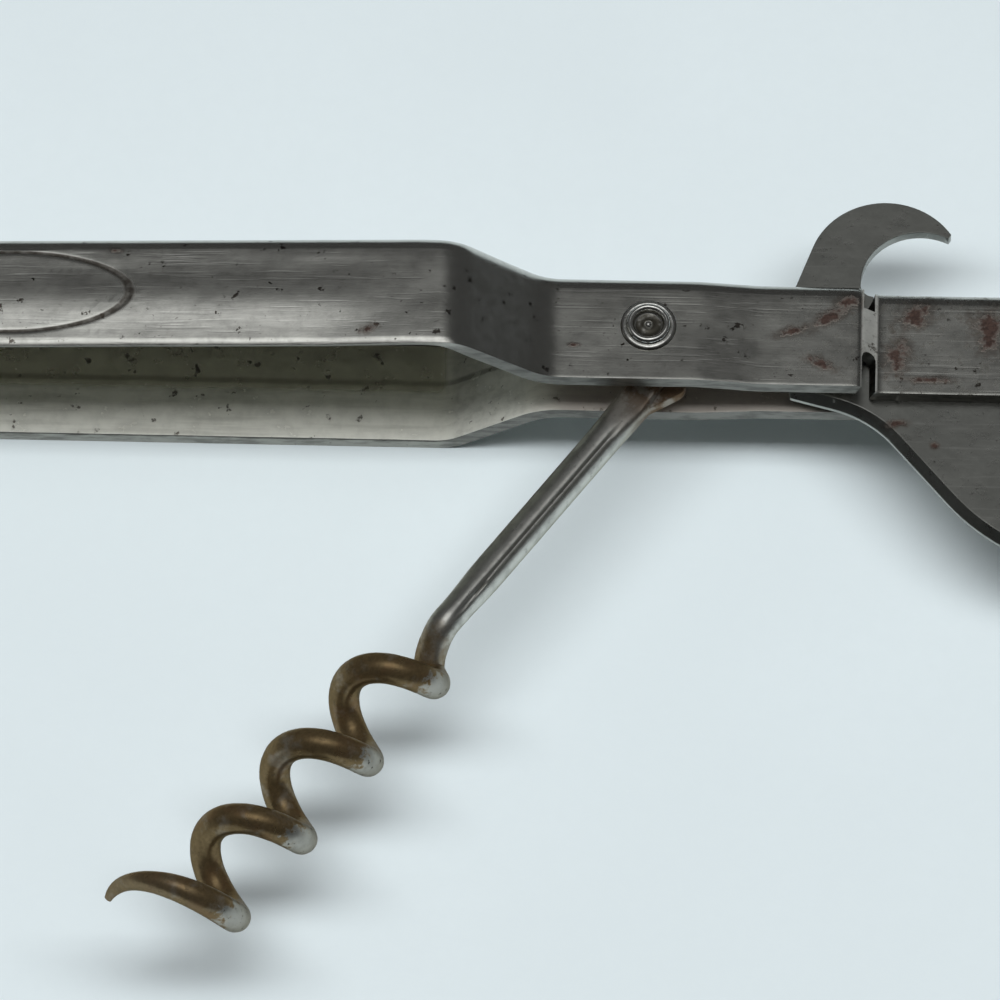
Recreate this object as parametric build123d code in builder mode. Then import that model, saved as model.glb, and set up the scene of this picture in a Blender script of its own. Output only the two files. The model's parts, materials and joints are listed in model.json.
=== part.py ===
"""Lever corkscrew: a folding worm, a cap lifter and a can-opening blade in one folded steel handle.

The tool lies on one leg of its handle. +X runs along the handle towards the blade, +Y towards the
closed spine of the handle and +Z up. The origin is the middle of the grip's underside.
"""

from math import atan2, cos, degrees, radians, sin, sqrt
import os

from build123d import *

# ---------------------------------------------------------------- driving dimensions, mm and degrees
# Handle: one steel sheet folded into a channel that is open towards -Y.
sheet = 1.6                 # sheet thickness
bend_inside = 0.4           # inside radius of the fold along the spine
leg_depth = 11.8            # spine's outer face to the free edges of the legs
grip_length = 89.4          # wide part that is held
grip_end_width = 18.2       # outside width of the grip at its far end
grip_width = 22.6           # outside width of the grip at the shoulder
shoulder_length = 9.0       # where the legs close from the grip to the neck
shoulder_bend = 5.0         # outside bend radius at both ends of the shoulder
neck_width = 8.6            # outside width around the pivot
neck_length = 15.5
waist_length = 6.0          # where the legs close from the neck to the throat
waist_bend = 8.0
throat_width = 7.3          # outside width behind the jaw
throat_length = 10.1
joggle_length = 1.6         # where the legs step in onto the blade plate
joggle_bend = 2.0
jaw_length = 21.4           # where the legs clamp the blade plate
grip_corner = 5.0           # corner radius of the legs at the grip's far end
jaw_corner = 2.5            # corner radius of the legs at the jaw's end

# Relief cuts at both ends of the joggle.
slot_width = 1.4
slot_depth = 4.1            # from the free edges
notch_width = 1.1
notch_depth = 2.0           # from the spine's outer face

# Plain oval groove pressed into the grip's upper leg.
oval_length = 24.6
oval_width = 9.2
oval_groove_width = 0.5
oval_groove_depth = 0.15

# Pivot: a semi-tubular rivet through both legs and the worm's eye.
pivot_from_shoulder = 10.3
pivot_from_spine = 5.8      # from the spine's outer face
rivet_shank = 3.4           # diameter
rivet_head = 5.6            # diameter of both heads
rivet_head_height = 0.85
rivet_recess = 2.9          # diameter of the rolled end's recess
rivet_recess_depth = 0.7
rivet_nub = 1.0             # diameter of the nub at the bottom of the recess
running_clearance = 0.05    # radial, rivet to eye

# Worm: one wire with a flattened eye, a straight oval shank and a right-handed screw.
wire = 2.9                  # wire diameter, and the shank's thickness
eye_radius = 3.8
eye_thickness = 2.5
tang_bulge = 1.5            # radius of the tang's bulge on the side away from the grip
tang_bulge_along = 2.2      # bulge's centre, along the shank
tang_bulge_out = 1.7        # bulge's centre to the shank's axis
tang_length = 6.8           # flattened stretch of the shank beside the eye
tang_taper = 3.0            # from the tang to the oval shank
shank_offset = 2.9          # shank's axis to the pivot's axis
shank_width = 3.4
shank_length = 37.0         # pivot's foot on the shank's axis to the screw's run-out
shank_rounding = 6.0        # last stretch of the shank, from oval to round
screw_run_out = 4.6         # along the screw's axis, from the shank to the screw's first turn
screw_lean = 0.7            # screw's axis to the shank's axis, towards the grip
screw_outer = 9.3           # outside diameter at the first turn
screw_end_outer = 10.2      # outside diameter at the last turn
screw_pitch = 10.95
screw_turns = 3.11          # at full wire thickness
tip_turns = 0.56            # tapering stretch, which opens out from the screw
tip_spread = 6.8            # point to the screw's axis
tip_diameter = 0.8
screw_start_angle = -60.0   # round the screw's axis, from the side away from the grip
worm_swing = 53.7           # angle from the grip's direction to the shank

# Blade plate: one stamping with the cap lifter's hook and the can-opening blade. Its outline is
# measured from the pivot's axis: "reach" along +X, "rise" along +Y and "depth" along -Y.
plate = 1.3                 # plate thickness
plate_back_gap = 0.6        # plate's back edge to the spine's inner face
tail_reach = 14.3
tail_depth = 5.5
hook_slot_clearance = 0.15  # round the hook where it passes through the spine
hook_back_radius = 7.8
hook_back_reach = 23.7      # centre of the hook's back
hook_back_rise = 8.7
hook_foot_angle = 160.0     # where the foot meets the back, round the centre of the back
hook_tip_angle = 33.5
hook_mouth_radius = 6.0
hook_mouth_reach = 27.2     # centre of the hook's mouth
hook_mouth_rise = 7.2
hook_mouth_angle = 63.0     # mouth's end at the tip, round the centre of the mouth
hook_root_radius = 1.3
shoulder_reach = 22.2       # corner between the plate's tail and the blade's heel
shoulder_depth = 7.6
shoulder_radius = 12.0
belly_radius = 22.0
belly_reach = 47.0          # centre of the belly of the cutting edge
belly_depth = 2.9
heel_reach = 30.2           # where the straight heel meets the belly
point_reach = 60.0          # blade's point
front_reach = 46.4          # front edge, just past the jaw
front_depth = 3.2           # where the front edge starts to curve to the point
front_radius = 18.3
plate_corner = 2.0
bevel_width = 0.9
bevel_depth = 0.85

# Blade rivets: two solid rivets through the jaw.
blade_rivet_shank = 2.4
blade_rivet_head = 4.0
blade_rivet_head_height = 0.6
blade_rivet_spacing = 4.4
blade_rivet_from_end = 3.6  # from the jaw's end
blade_rivet_shift = 0.7     # pair's middle, from the middle of the legs towards the free edges

overrun = 5.0               # how far cutters run past what they cut
tip_steps = 5               # stretches between the points of the tip's centre line

# ---------------------------------------------------------------- stations
spine_y = leg_depth / 2
edge_y = -leg_depth / 2
mid_z = grip_width / 2
grip_end_x = -grip_length / 2
shoulder_x = grip_length / 2
neck_x = shoulder_x + shoulder_length
waist_x = neck_x + neck_length
throat_x = waist_x + waist_length
joggle_x = throat_x + throat_length
jaw_x = joggle_x + joggle_length
jaw_end_x = jaw_x + jaw_length
jaw_width = 2 * sheet + plate
relief_x = (joggle_x + jaw_x) / 2
pivot_x = neck_x + pivot_from_shoulder
pivot_y = spine_y - pivot_from_spine
blade_rivet_x = jaw_end_x - blade_rivet_from_end
plate_back_rise = pivot_from_spine - sheet - plate_back_gap
blade_rivet_places = [(blade_rivet_x, side * blade_rivet_spacing / 2 - blade_rivet_shift) for side in (-1, 1)]


def round_point(reach, rise, radius, angle):
    """A point on a circle whose centre is measured from the pivot's axis."""
    turn = radians(angle)
    return (pivot_x + reach + radius * cos(turn), pivot_y + rise + radius * sin(turn))


# ---------------------------------------------------------------- handle
width_stations = [
    (shoulder_x, grip_width, shoulder_bend),
    (neck_x, neck_width, shoulder_bend),
    (waist_x, neck_width, waist_bend),
    (throat_x, throat_width, waist_bend),
    (joggle_x, throat_width, joggle_bend),
    (jaw_x, jaw_width, joggle_bend),
]
bends = [bend for _, _, bend in width_stations]
grip_slope = (grip_width - grip_end_width) / grip_length
upper_leg_plane = Plane(
    origin=(0, 0, (grip_width + grip_end_width) / 2),
    x_dir=(1, 0, grip_slope),
    z_dir=(-grip_slope, 0, 1),
)

# The hook's straight foot touches the back's circle and runs down into the channel.
foot_top = round_point(hook_back_reach, hook_back_rise, hook_back_radius, hook_foot_angle)
foot_lean = radians(hook_foot_angle - 90)
foot_bottom_y = pivot_y + plate_back_rise
foot_bottom = (foot_top[0] - (foot_top[1] - foot_bottom_y) / sin(foot_lean) * cos(foot_lean), foot_bottom_y)
mouth_bottom = round_point(hook_mouth_reach, hook_mouth_rise, hook_mouth_radius, 180)
hook_slot_start = foot_bottom[0] - hook_slot_clearance
hook_slot_end = mouth_bottom[0] + hook_root_radius + hook_slot_clearance

with BuildPart() as handle:
    # Side outline, seen along Y.
    with BuildSketch(Plane.XZ.offset(-spine_y)):
        with BuildLine():
            for side, end_z in ((-1, 0.0), (1, grip_end_width)):
                corners = [(x, mid_z + side * width / 2) for x, width, _ in width_stations]
                jaw_corner_point = (jaw_end_x, mid_z + side * jaw_width / 2)
                FilletPolyline((grip_end_x, end_z), *corners, jaw_corner_point, radius=bends)
            Line((grip_end_x, 0.0), (grip_end_x, grip_end_width))
            Line((jaw_end_x, mid_z - jaw_width / 2), (jaw_end_x, mid_z + jaw_width / 2))
        make_face()
    extrude(amount=leg_depth)

    # The folds along the spine, then the sheet: open along the free edges and at both ends.
    spine_edges = handle.faces().sort_by(Axis.Y)[-1].edges()
    end_edges = spine_edges.filter_by(Axis.Z)
    fillet(spine_edges - end_edges, radius=sheet + bend_inside)
    free_side = handle.faces().sort_by(Axis.Y)[0]
    ends = handle.faces().filter_by(Axis.X).sort_by(Axis.X)
    offset(amount=-sheet, openings=[free_side, ends[0], ends[-1]])

    # Rounded free corners of both legs.
    for pick, corner in ((slice(0, 2), grip_corner), (slice(-2, None), jaw_corner)):
        free_corners = handle.edges().filter_by(Axis.Z).group_by(Axis.Y)[0].sort_by(Axis.X)
        fillet(free_corners[pick], radius=corner)

    # Relief cuts at the joggle, and the slot in the spine that the hook passes through.
    with BuildSketch():
        with Locations((relief_x, edge_y + slot_depth - slot_width / 2)):
            Circle(slot_width / 2)
            Rectangle(slot_width, slot_depth, align=(Align.CENTER, Align.MAX))
        with Locations((relief_x, spine_y)):
            Rectangle(notch_width, 2 * notch_depth)
    extrude(amount=grip_width, mode=Mode.SUBTRACT)
    with BuildSketch(Plane.XZ.offset(-spine_y - overrun)):
        with Locations(((hook_slot_start + hook_slot_end) / 2, mid_z)):
            Rectangle(hook_slot_end - hook_slot_start, plate + 2 * hook_slot_clearance)
    extrude(amount=overrun + sheet + bend_inside, mode=Mode.SUBTRACT)

    # Rivet holes through both legs.
    with BuildSketch():
        with Locations((pivot_x, pivot_y)):
            Circle(rivet_shank / 2)
        with Locations(*blade_rivet_places):
            Circle(blade_rivet_shank / 2)
    extrude(amount=grip_width, mode=Mode.SUBTRACT)

    # Plain oval groove.
    with BuildSketch(upper_leg_plane):
        Ellipse(oval_length / 2, oval_width / 2)
        Ellipse(oval_length / 2 - oval_groove_width, oval_width / 2 - oval_groove_width, mode=Mode.SUBTRACT)
    extrude(amount=-oval_groove_depth, mode=Mode.SUBTRACT)

# ---------------------------------------------------------------- pivot rivet
lower_head_z = mid_z - neck_width / 2 - rivet_head_height
lower_seat_z = mid_z - neck_width / 2
upper_seat_z = mid_z + neck_width / 2
recess_z = upper_seat_z + rivet_head_height - rivet_recess_depth
roll_middle = (rivet_head + rivet_recess) / 4
roll_half_width = (rivet_head - rivet_recess) / 4

with BuildPart() as pivot_rivet:
    with BuildSketch(Plane(origin=(pivot_x, pivot_y, 0), x_dir=(1, 0, 0), z_dir=(0, -1, 0))):
        with BuildLine():
            dome_edge = (rivet_head / 2 - rivet_head_height, lower_head_z)
            Polyline((0, recess_z), (0, lower_head_z), dome_edge)
            CenterArc((rivet_head / 2 - rivet_head_height, lower_seat_z), rivet_head_height, -90, 90)
            Polyline((rivet_head / 2, lower_seat_z), (rivet_shank / 2, lower_seat_z),
                     (rivet_shank / 2, upper_seat_z), (rivet_head / 2, upper_seat_z))
            EllipticalCenterArc((roll_middle, upper_seat_z), roll_half_width, rivet_head_height,
                                start_angle=0, arc_size=180)
            Line((rivet_recess / 2, upper_seat_z), (rivet_recess / 2, recess_z))
            Line((rivet_recess / 2, recess_z), (0, recess_z))
        make_face()
    revolve(axis=Axis((pivot_x, pivot_y, 0), (0, 0, 1)))
    with Locations((pivot_x, pivot_y, recess_z)):
        Sphere(rivet_nub / 2)

# ---------------------------------------------------------------- worm
def swung(angle):
    """The direction that lies along the grip when the worm is folded, swung out by this angle."""
    return Vector(-cos(radians(angle)), -sin(radians(angle)), 0)


shank_direction = swung(worm_swing)
shank_side = swung(worm_swing - 90).reverse()
shank_foot = Vector(pivot_x, pivot_y, mid_z) + shank_side * shank_offset
shank_end = shank_foot + shank_direction * shank_length
screw_start_radius = (screw_outer - wire) / 2
screw_end_radius = (screw_end_outer - wire) / 2
screw_length = screw_pitch * screw_turns


def across_shank(distance):
    """The plane square to the shank, this far along it; its X is the side away from the grip."""
    return Plane(origin=shank_foot + shank_direction * distance, x_dir=shank_side, z_dir=shank_direction)


def across_screw(distance):
    """The plane square to the screw's axis, this far from the shank's end; X as for the shank."""
    direction = swung(worm_swing - screw_lean)
    side = swung(worm_swing - screw_lean - 90).reverse()
    return Plane(origin=shank_end + direction * distance, x_dir=side, z_dir=direction)


def tip_point(share):
    """A point of the tip's centre line, by its share of the tip: the radius grows with its square."""
    angle = radians(screw_start_angle + 360 * (screw_turns + tip_turns * share))
    radius = screw_end_radius + (tip_spread - screw_end_radius) * share**2
    plane = across_screw(screw_run_out + screw_length + screw_pitch * tip_turns * share)
    return plane.from_local_coords((radius * cos(angle), radius * sin(angle), 0))


def wire_section(line, share, diameter):
    """A round section of the wire, square to its centre line."""
    with BuildSketch(Plane(origin=line @ share, z_dir=line % share)) as section:
        Circle(diameter / 2)
    return section.sketch


with BuildLine() as helix:
    cone_angle = degrees(atan2(screw_end_radius - screw_start_radius, screw_length))
    Helix(screw_pitch, screw_length, screw_start_radius, cone_angle=cone_angle)
screw = across_screw(screw_run_out).location * Rot(Z=screw_start_angle) * helix.line
with BuildLine() as coil:
    Spline(shank_end, screw @ 0, tangents=[shank_direction, screw % 0])
    add(screw)
with BuildLine() as tip:
    tip_points = [tip_point(step / tip_steps) for step in range(1, tip_steps + 1)]
    Spline(screw @ 1, *tip_points, tangents=[screw % 1, (tip_points[-1] - tip_points[-2]).normalized()])

with BuildPart() as worm:
    # Flattened eye and tang.
    tang_end = across_shank(tang_length)
    with BuildSketch(Plane.XY.offset(mid_z - eye_thickness / 2)):
        with Locations((pivot_x, pivot_y)):
            Circle(eye_radius)
        bulge = across_shank(tang_bulge_along).from_local_coords((tang_bulge_out, 0, 0))
        with Locations((bulge.X, bulge.Y)):
            Circle(tang_bulge)
        with BuildLine():
            tang_sides = [tang_end.from_local_coords((side * shank_width / 2, 0, 0)) for side in (-1, 1)]
            Line([(point.X, point.Y) for point in tang_sides])
        make_hull()
    extrude(amount=eye_thickness)

    # Oval shank, which is round where the screw starts.
    with BuildSketch(tang_end):
        Rectangle(shank_width, eye_thickness)
    with BuildSketch(across_shank(tang_length + tang_taper)):
        Ellipse(shank_width / 2, wire / 2)
    loft()
    with BuildSketch(across_shank(tang_length + tang_taper)):
        Ellipse(shank_width / 2, wire / 2)
    extrude(amount=shank_length - tang_length - tang_taper - shank_rounding)
    with BuildSketch(across_shank(shank_length - shank_rounding)):
        Ellipse(shank_width / 2, wire / 2)
    with BuildSketch(across_shank(shank_length)):
        Circle(wire / 2)
    loft()

    # Run-out and screw in one stretch, then the tip, which thins ever faster to its point.
    with BuildSketch(across_shank(shank_length)):
        Circle(wire / 2)
    sweep(path=coil.wires()[0])
    shares = [step / tip_steps for step in range(tip_steps + 1)]
    loft([wire_section(tip.line, share, wire + (tip_diameter - wire) * share**2) for share in shares])

    with BuildSketch():
        with Locations((pivot_x, pivot_y)):
            Circle(rivet_shank / 2 + running_clearance)
    extrude(amount=grip_width, mode=Mode.SUBTRACT)

# ---------------------------------------------------------------- blade plate
heel_end_depth = belly_depth + sqrt(belly_radius**2 - (belly_reach - heel_reach) ** 2)
heel_end = (pivot_x + heel_reach, pivot_y - heel_end_depth)
point_depth = belly_depth + sqrt(belly_radius**2 - (point_reach - belly_reach) ** 2)
point = (pivot_x + point_reach, pivot_y - point_depth)
belly_bottom = (pivot_x + belly_reach, pivot_y - belly_depth - belly_radius)
shoulder = (pivot_x + shoulder_reach, pivot_y - shoulder_depth)
front = (pivot_x + front_reach, pivot_y - front_depth)
back_y = pivot_y + plate_back_rise
root_x = mouth_bottom[0] + hook_root_radius

with BuildPart() as blade_plate:
    with BuildSketch(Plane.XY.offset(mid_z - plate / 2)) as outline:
        with BuildLine():
            # Hook: foot, back, tip, mouth and root.
            Line(foot_bottom, foot_top)
            hook_back = CenterArc((pivot_x + hook_back_reach, pivot_y + hook_back_rise), hook_back_radius,
                                  hook_foot_angle, hook_tip_angle - hook_foot_angle)
            mouth = CenterArc((pivot_x + hook_mouth_reach, pivot_y + hook_mouth_rise), hook_mouth_radius,
                              hook_mouth_angle, 180 - hook_mouth_angle)
            Line(hook_back @ 1, mouth @ 0)
            root_top = (mouth_bottom[0], spine_y + hook_root_radius)
            Line(mouth @ 1, root_top)
            CenterArc((root_x, spine_y + hook_root_radius), hook_root_radius, 180, 90)
            # Back edge inside the jaw, front edge and point.
            Polyline((root_x, spine_y), (root_x, back_y), (front[0], back_y), front)
            RadiusArc(front, point, front_radius)
            # Cutting edge, heel, shoulder and tail.
            ThreePointArc(point, belly_bottom, heel_end)
            Polyline(heel_end, shoulder, (pivot_x + tail_reach, pivot_y - tail_depth), foot_bottom)
        make_face()
        fillet(outline.vertices().sort_by_distance(shoulder)[0], radius=shoulder_radius)
        fillet(outline.vertices().sort_by_distance((front[0], back_y))[0], radius=plate_corner)
    extrude(amount=plate)

    # Sharpened bevel along the heel and the belly, on the upper face.
    upper = blade_plate.faces().sort_by(Axis.Z)[-1]
    cutting = [e for e in upper.edges() if e.center().Y < pivot_y - shoulder_depth - 1 and e.length > 5]
    chamfer(ShapeList(cutting).sort_by(Axis.X), length=bevel_width, length2=bevel_depth, reference=upper)

    with BuildSketch():
        with Locations(*blade_rivet_places):
            Circle(blade_rivet_shank / 2)
    extrude(amount=grip_width, mode=Mode.SUBTRACT)

# ---------------------------------------------------------------- blade rivets
with BuildPart() as blade_rivets:
    seat = jaw_width / 2
    crown = seat + blade_rivet_head_height
    with BuildSketch(Plane.XY.offset(mid_z - crown)):
        with Locations(*blade_rivet_places):
            Circle(blade_rivet_head / 2)
    extrude(amount=blade_rivet_head_height)
    with BuildSketch(Plane.XY.offset(mid_z - seat)):
        with Locations(*blade_rivet_places):
            Circle(blade_rivet_shank / 2)
    extrude(amount=jaw_width)
    with BuildSketch(Plane.XY.offset(mid_z + seat)):
        with Locations(*blade_rivet_places):
            Circle(blade_rivet_head / 2)
    extrude(amount=blade_rivet_head_height)
    rims = blade_rivets.edges().filter_by(GeomType.CIRCLE).group_by(Axis.Z)
    fillet(rims[0] + rims[-1], radius=blade_rivet_head_height * 0.8)

# ---------------------------------------------------------------- files
os.makedirs("parts", exist_ok=True)
pieces = {
    "handle": handle,
    "pivot_rivet": pivot_rivet,
    "worm": worm,
    "blade_plate": blade_plate,
    "blade_rivets": blade_rivets,
}
for name, piece in pieces.items():
    piece.part.label = name
    export_step(piece.part, f"parts/{name}.step")
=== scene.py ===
"""Lever corkscrew: the visual model of its folded steel handle, worm, blade plate and rivets."""

import json
from math import atan2, cos, exp, hypot, pi, radians, sin, sqrt, tan

import bmesh
import bpy
from mathutils import Matrix, Vector, noise


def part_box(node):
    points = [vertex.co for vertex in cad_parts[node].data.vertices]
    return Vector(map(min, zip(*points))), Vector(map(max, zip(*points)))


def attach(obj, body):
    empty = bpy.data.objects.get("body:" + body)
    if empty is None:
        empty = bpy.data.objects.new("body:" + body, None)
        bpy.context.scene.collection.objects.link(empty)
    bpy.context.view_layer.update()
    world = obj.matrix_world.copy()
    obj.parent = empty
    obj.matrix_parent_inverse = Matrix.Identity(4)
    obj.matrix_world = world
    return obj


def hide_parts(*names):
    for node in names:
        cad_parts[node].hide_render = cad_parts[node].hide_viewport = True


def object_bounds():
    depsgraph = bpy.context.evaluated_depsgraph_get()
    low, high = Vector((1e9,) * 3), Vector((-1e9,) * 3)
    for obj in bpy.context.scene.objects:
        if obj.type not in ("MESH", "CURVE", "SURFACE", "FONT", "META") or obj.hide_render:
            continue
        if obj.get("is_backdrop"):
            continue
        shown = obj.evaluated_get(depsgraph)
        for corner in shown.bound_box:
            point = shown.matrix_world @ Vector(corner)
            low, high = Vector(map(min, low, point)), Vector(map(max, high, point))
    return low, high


bl_info = {
    "name": "Lever Corkscrew",
    "version": (1, 0, 0),
    "blender": (4, 5, 0),
    "location": "View3D > Sidebar > Corkscrew",
    "description": "Builds a plated steel lever corkscrew with a cap lifter and a can-opening blade",
    "category": "Add Mesh",
}

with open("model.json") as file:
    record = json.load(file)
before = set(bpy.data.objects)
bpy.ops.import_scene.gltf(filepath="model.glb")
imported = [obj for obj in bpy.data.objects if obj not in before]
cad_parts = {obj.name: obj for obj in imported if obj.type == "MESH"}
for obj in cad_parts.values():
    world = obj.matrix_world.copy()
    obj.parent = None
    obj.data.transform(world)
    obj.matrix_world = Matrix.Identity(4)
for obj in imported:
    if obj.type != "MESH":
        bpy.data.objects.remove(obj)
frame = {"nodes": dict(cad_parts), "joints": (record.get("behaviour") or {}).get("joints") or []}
CAD_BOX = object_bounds()
MM = 0.001

# Places that the pieces share, in the frame's own space.
PIVOT = Vector(frame["joints"][0]["pos_m"])
MID_Z = PIVOT.z
GRIP_END_X, FREE_EDGE_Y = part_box("handle")[0][:2]
JAW_END_X, SPINE_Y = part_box("handle")[1][:2]
WORM_SWING = radians(53.7)


def length(name, description, default):
    """A length property in metres; its default is given in millimetres."""
    return bpy.props.FloatProperty(
        name=name, description=description, default=default * MM, min=0.0, unit="LENGTH", precision=5
    )


def angle_of(name, description, default):
    """An angle property in radians."""
    return bpy.props.FloatProperty(name=name, description=description, default=default, unit="ROTATION")


def number(name, description, default, **limits):
    """A plain number property."""
    return bpy.props.FloatProperty(name=name, description=description, default=default, **limits)


def tint(name, description, default):
    """A colour property, linear RGB."""
    return bpy.props.FloatVectorProperty(
        name=name, description=description, default=default, size=3, subtype="COLOR", min=0.0, max=1.0
    )


# ---------------------------------------------------------------- mesh helpers
def new_object(name, bm):
    """Turns a finished bmesh into a smooth-shaded object at the origin."""
    for face in bm.faces:
        face.smooth = True
    mesh = bpy.data.meshes.new(name)
    bm.to_mesh(mesh)
    bm.free()
    made = bpy.data.objects.new(name, mesh)
    bpy.context.scene.collection.objects.link(made)
    return made


def add_modifier(piece, kind, **settings):
    """Adds a modifier and sets it up."""
    made = piece.modifiers.new(kind.title(), kind)
    for key, value in settings.items():
        setattr(made, key, value)
    return made


def apply_modifiers(piece):
    """Gives a piece the mesh that its modifiers make."""
    bpy.context.view_layer.update()
    result = bpy.data.meshes.new_from_object(piece.evaluated_get(bpy.context.evaluated_depsgraph_get()))
    piece.modifiers.clear()
    old, piece.data = piece.data, result
    bpy.data.meshes.remove(old)
    result.name = piece.name


def boolean(piece, tool, operation):
    """Cuts or joins another object into a piece and removes the other object."""
    add_modifier(piece, "BOOLEAN", object=tool, operation=operation, solver="EXACT")
    apply_modifiers(piece)
    bpy.data.objects.remove(tool)


def bevel(bm, edges, width, segments):
    """Rounds some edges."""
    bmesh.ops.bevel(bm, geom=edges, offset=width, offset_type="OFFSET", segments=segments, affect="EDGES",
                    profile=0.5, material=-1, clamp_overlap=True)


def mark_sharp(piece, angle):
    """Marks the edges that turn by more than an angle as sharp, so flat faces shade flat."""
    bm = bmesh.new()
    bm.from_mesh(piece.data)
    for edge in bm.edges:
        edge.smooth = len(edge.link_faces) == 2 and edge.calc_face_angle() < angle
    bm.to_mesh(piece.data)
    bm.free()


def smooth_step(value):
    """0 to 1 with level ends, for a value from 0 to 1."""
    value = min(max(value, 0.0), 1.0)
    return value * value * (3 - 2 * value)


def fade_out(value, start, run):
    """1 up to a start, then falling smoothly to 0 over a run; both are in millimetres."""
    return 1 - smooth_step((value - start * MM) / (run * MM))


def fade_in(value, start, run):
    """0 up to a start, then rising smoothly to 1 over a run; both are in millimetres."""
    return smooth_step((value - start * MM) / (run * MM))


def shade(colour, share):
    """A colour with each channel scaled."""
    return tuple(channel * share for channel in colour)


def lathe(name, profile, places, steps=72):
    """Spins a half profile of (radius, height) round an upright axis at each of some places."""
    bm = bmesh.new()
    for x, y in places:
        verts = [bm.verts.new((x + radius, y, z)) for radius, z in profile]
        edges = [bm.edges.new(pair) for pair in zip(verts, verts[1:])]
        bmesh.ops.spin(
            bm, geom=verts + edges, cent=(x, y, 0), axis=(0, 0, 1), angle=2 * pi, steps=steps, use_merge=True
        )
    bmesh.ops.remove_doubles(bm, verts=bm.verts, dist=1e-6)
    bmesh.ops.recalc_face_normals(bm, faces=bm.faces)
    return new_object(name, bm)


# ---------------------------------------------------------------- finishes
class Finish:
    """One material's nodes. Its patterns are laid out in millimetres of the piece's own space."""

    def __init__(self, name, centre=(0, 0, 0), turn=0.0):
        self.material = bpy.data.materials.new(name)
        self.material.use_nodes = True
        self.tree = self.material.node_tree
        self.shader = self.tree.nodes["Principled BSDF"]
        coordinates = self.node("TexCoord").outputs["Object"]
        self.position = self.node(
            "Mapping",
            {"Vector": coordinates, "Location": centre, "Rotation": (0, 0, turn), "Scale": (MM, MM, MM)},
            vector_type="TEXTURE",
        ).outputs[0]

    def node(self, kind, inputs=None, **settings):
        """Adds a node, with its settings and its inputs' values or links."""
        made = self.tree.nodes.new("ShaderNode" + kind)
        for key, value in settings.items():
            setattr(made, key, value)
        for key, value in (inputs or {}).items():
            self.put(made.inputs[key], value)
        return made

    def put(self, socket, value):
        """Links an output to a socket, or sets the socket's own value."""
        if isinstance(value, bpy.types.NodeSocket):
            self.tree.links.new(value, socket)
        else:
            socket.default_value = value

    def noise(self, scale, detail=3.0, rough=0.5, distortion=0.0, stretch=(1, 1, 1), turn=0.0, shift=0.0):
        """Fractal noise; scale is in cycles per millimetre, stretch squeezes it along each axis."""
        place = self.node(
            "Mapping",
            {"Vector": self.position, "Location": (shift, shift, shift), "Rotation": (0, 0, turn), "Scale": stretch},
        ).outputs[0]
        values = {"Vector": place, "Scale": scale, "Detail": detail, "Roughness": rough, "Distortion": distortion}
        return self.node("TexNoise", values).outputs[0]

    def band(self, value, low, high, bottom=0.0, top=1.0):
        """Maps a value's low to high softly onto bottom to top."""
        values = {"Value": value, "From Min": low, "From Max": high, "To Min": bottom, "To Max": top}
        return self.node("MapRange", values, interpolation_type="SMOOTHSTEP").outputs[0]

    def math(self, operation, first, second=0.0):
        """One step of arithmetic."""
        made = self.node("Math", operation=operation)
        self.put(made.inputs[0], first)
        self.put(made.inputs[1], second)
        return made.outputs[0]

    def times(self, first, second):
        """The product of two values."""
        return self.math("MULTIPLY", first, second)

    def plus(self, first, second):
        """The sum of two values."""
        return self.math("ADD", first, second)

    def mixed(self, factor, first, second, blend="MIX"):
        """Mixes two colours."""
        made = self.node("Mix", data_type="RGBA", blend_type=blend)
        self.put(made.inputs[0], factor)
        for socket, value in ((made.inputs[6], first), (made.inputs[7], second)):
            self.put(socket, value if isinstance(value, bpy.types.NodeSocket) else (*value, 1.0))
        return made.outputs[2]

    def axis(self, name):
        """One coordinate of the position, in millimetres."""
        return self.node("SeparateXYZ", {0: self.position}).outputs[name]

    def stain(self, centre, size, turn=0.0, ragged=0.6, grain=0.9):
        """Ragged distance from an ellipse's centre: 1 at its rim; its centre and half sizes are in millimetres."""
        inside = self.node(
            "Mapping",
            {"Vector": self.position, "Location": centre, "Rotation": (0, 0, turn), "Scale": size},
            vector_type="TEXTURE",
        ).outputs[0]
        distance = self.node("VectorMath", {0: inside}, operation="LENGTH").outputs["Value"]
        torn = self.times(self.math("SUBTRACT", self.noise(grain, 6, 0.7), 0.5), ragged * 5)
        return self.plus(distance, torn)

    def stained(self, stains, colour, halo, core):
        """Lays rust over a colour: a thin brown film round each stain and dark crust within it."""
        field = self.any_of([self.stain(*stain) for stain in stains], "MINIMUM")
        film = self.band(field, 0.75, 1.7, 1.0, 0.0)
        crust = self.band(field, 0.35, 0.95, 1.0, 0.0)
        grain = self.band(self.noise(3.0, 5, 0.7, shift=51), 0.38, 0.62)
        colour = self.mixed(self.times(film, 0.55), colour, halo)
        return self.mixed(crust, colour, self.mixed(grain, core, shade(core, 0.5))), crust

    def any_of(self, values, operation="MAXIMUM"):
        """The highest, or the lowest, of several values."""
        picked = values[0]
        for value in values[1:]:
            picked = self.math(operation, picked, value)
        return picked

    def scratches(self, turns, scale=1.6, long=0.03, low=0.62, high=0.72, shift=0.0):
        """Fine straight scratches in a few directions."""
        layers = [
            self.band(self.noise(scale, 2, 0.6, stretch=(long, 1, 1), turn=turn, shift=shift + 7 * turn), low, high)
            for turn in turns
        ]
        return self.any_of(layers)

    def relief(self, heights):
        """Chains bumps of (height, depth in metres) into the shader's normal."""
        normal = None
        for height, depth in heights:
            values = {"Height": height, "Distance": depth, "Strength": 1.0}
            if normal:
                values["Normal"] = normal
            normal = self.node("Bump", values).outputs[0]
        self.put(self.shader.inputs["Normal"], normal)

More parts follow.
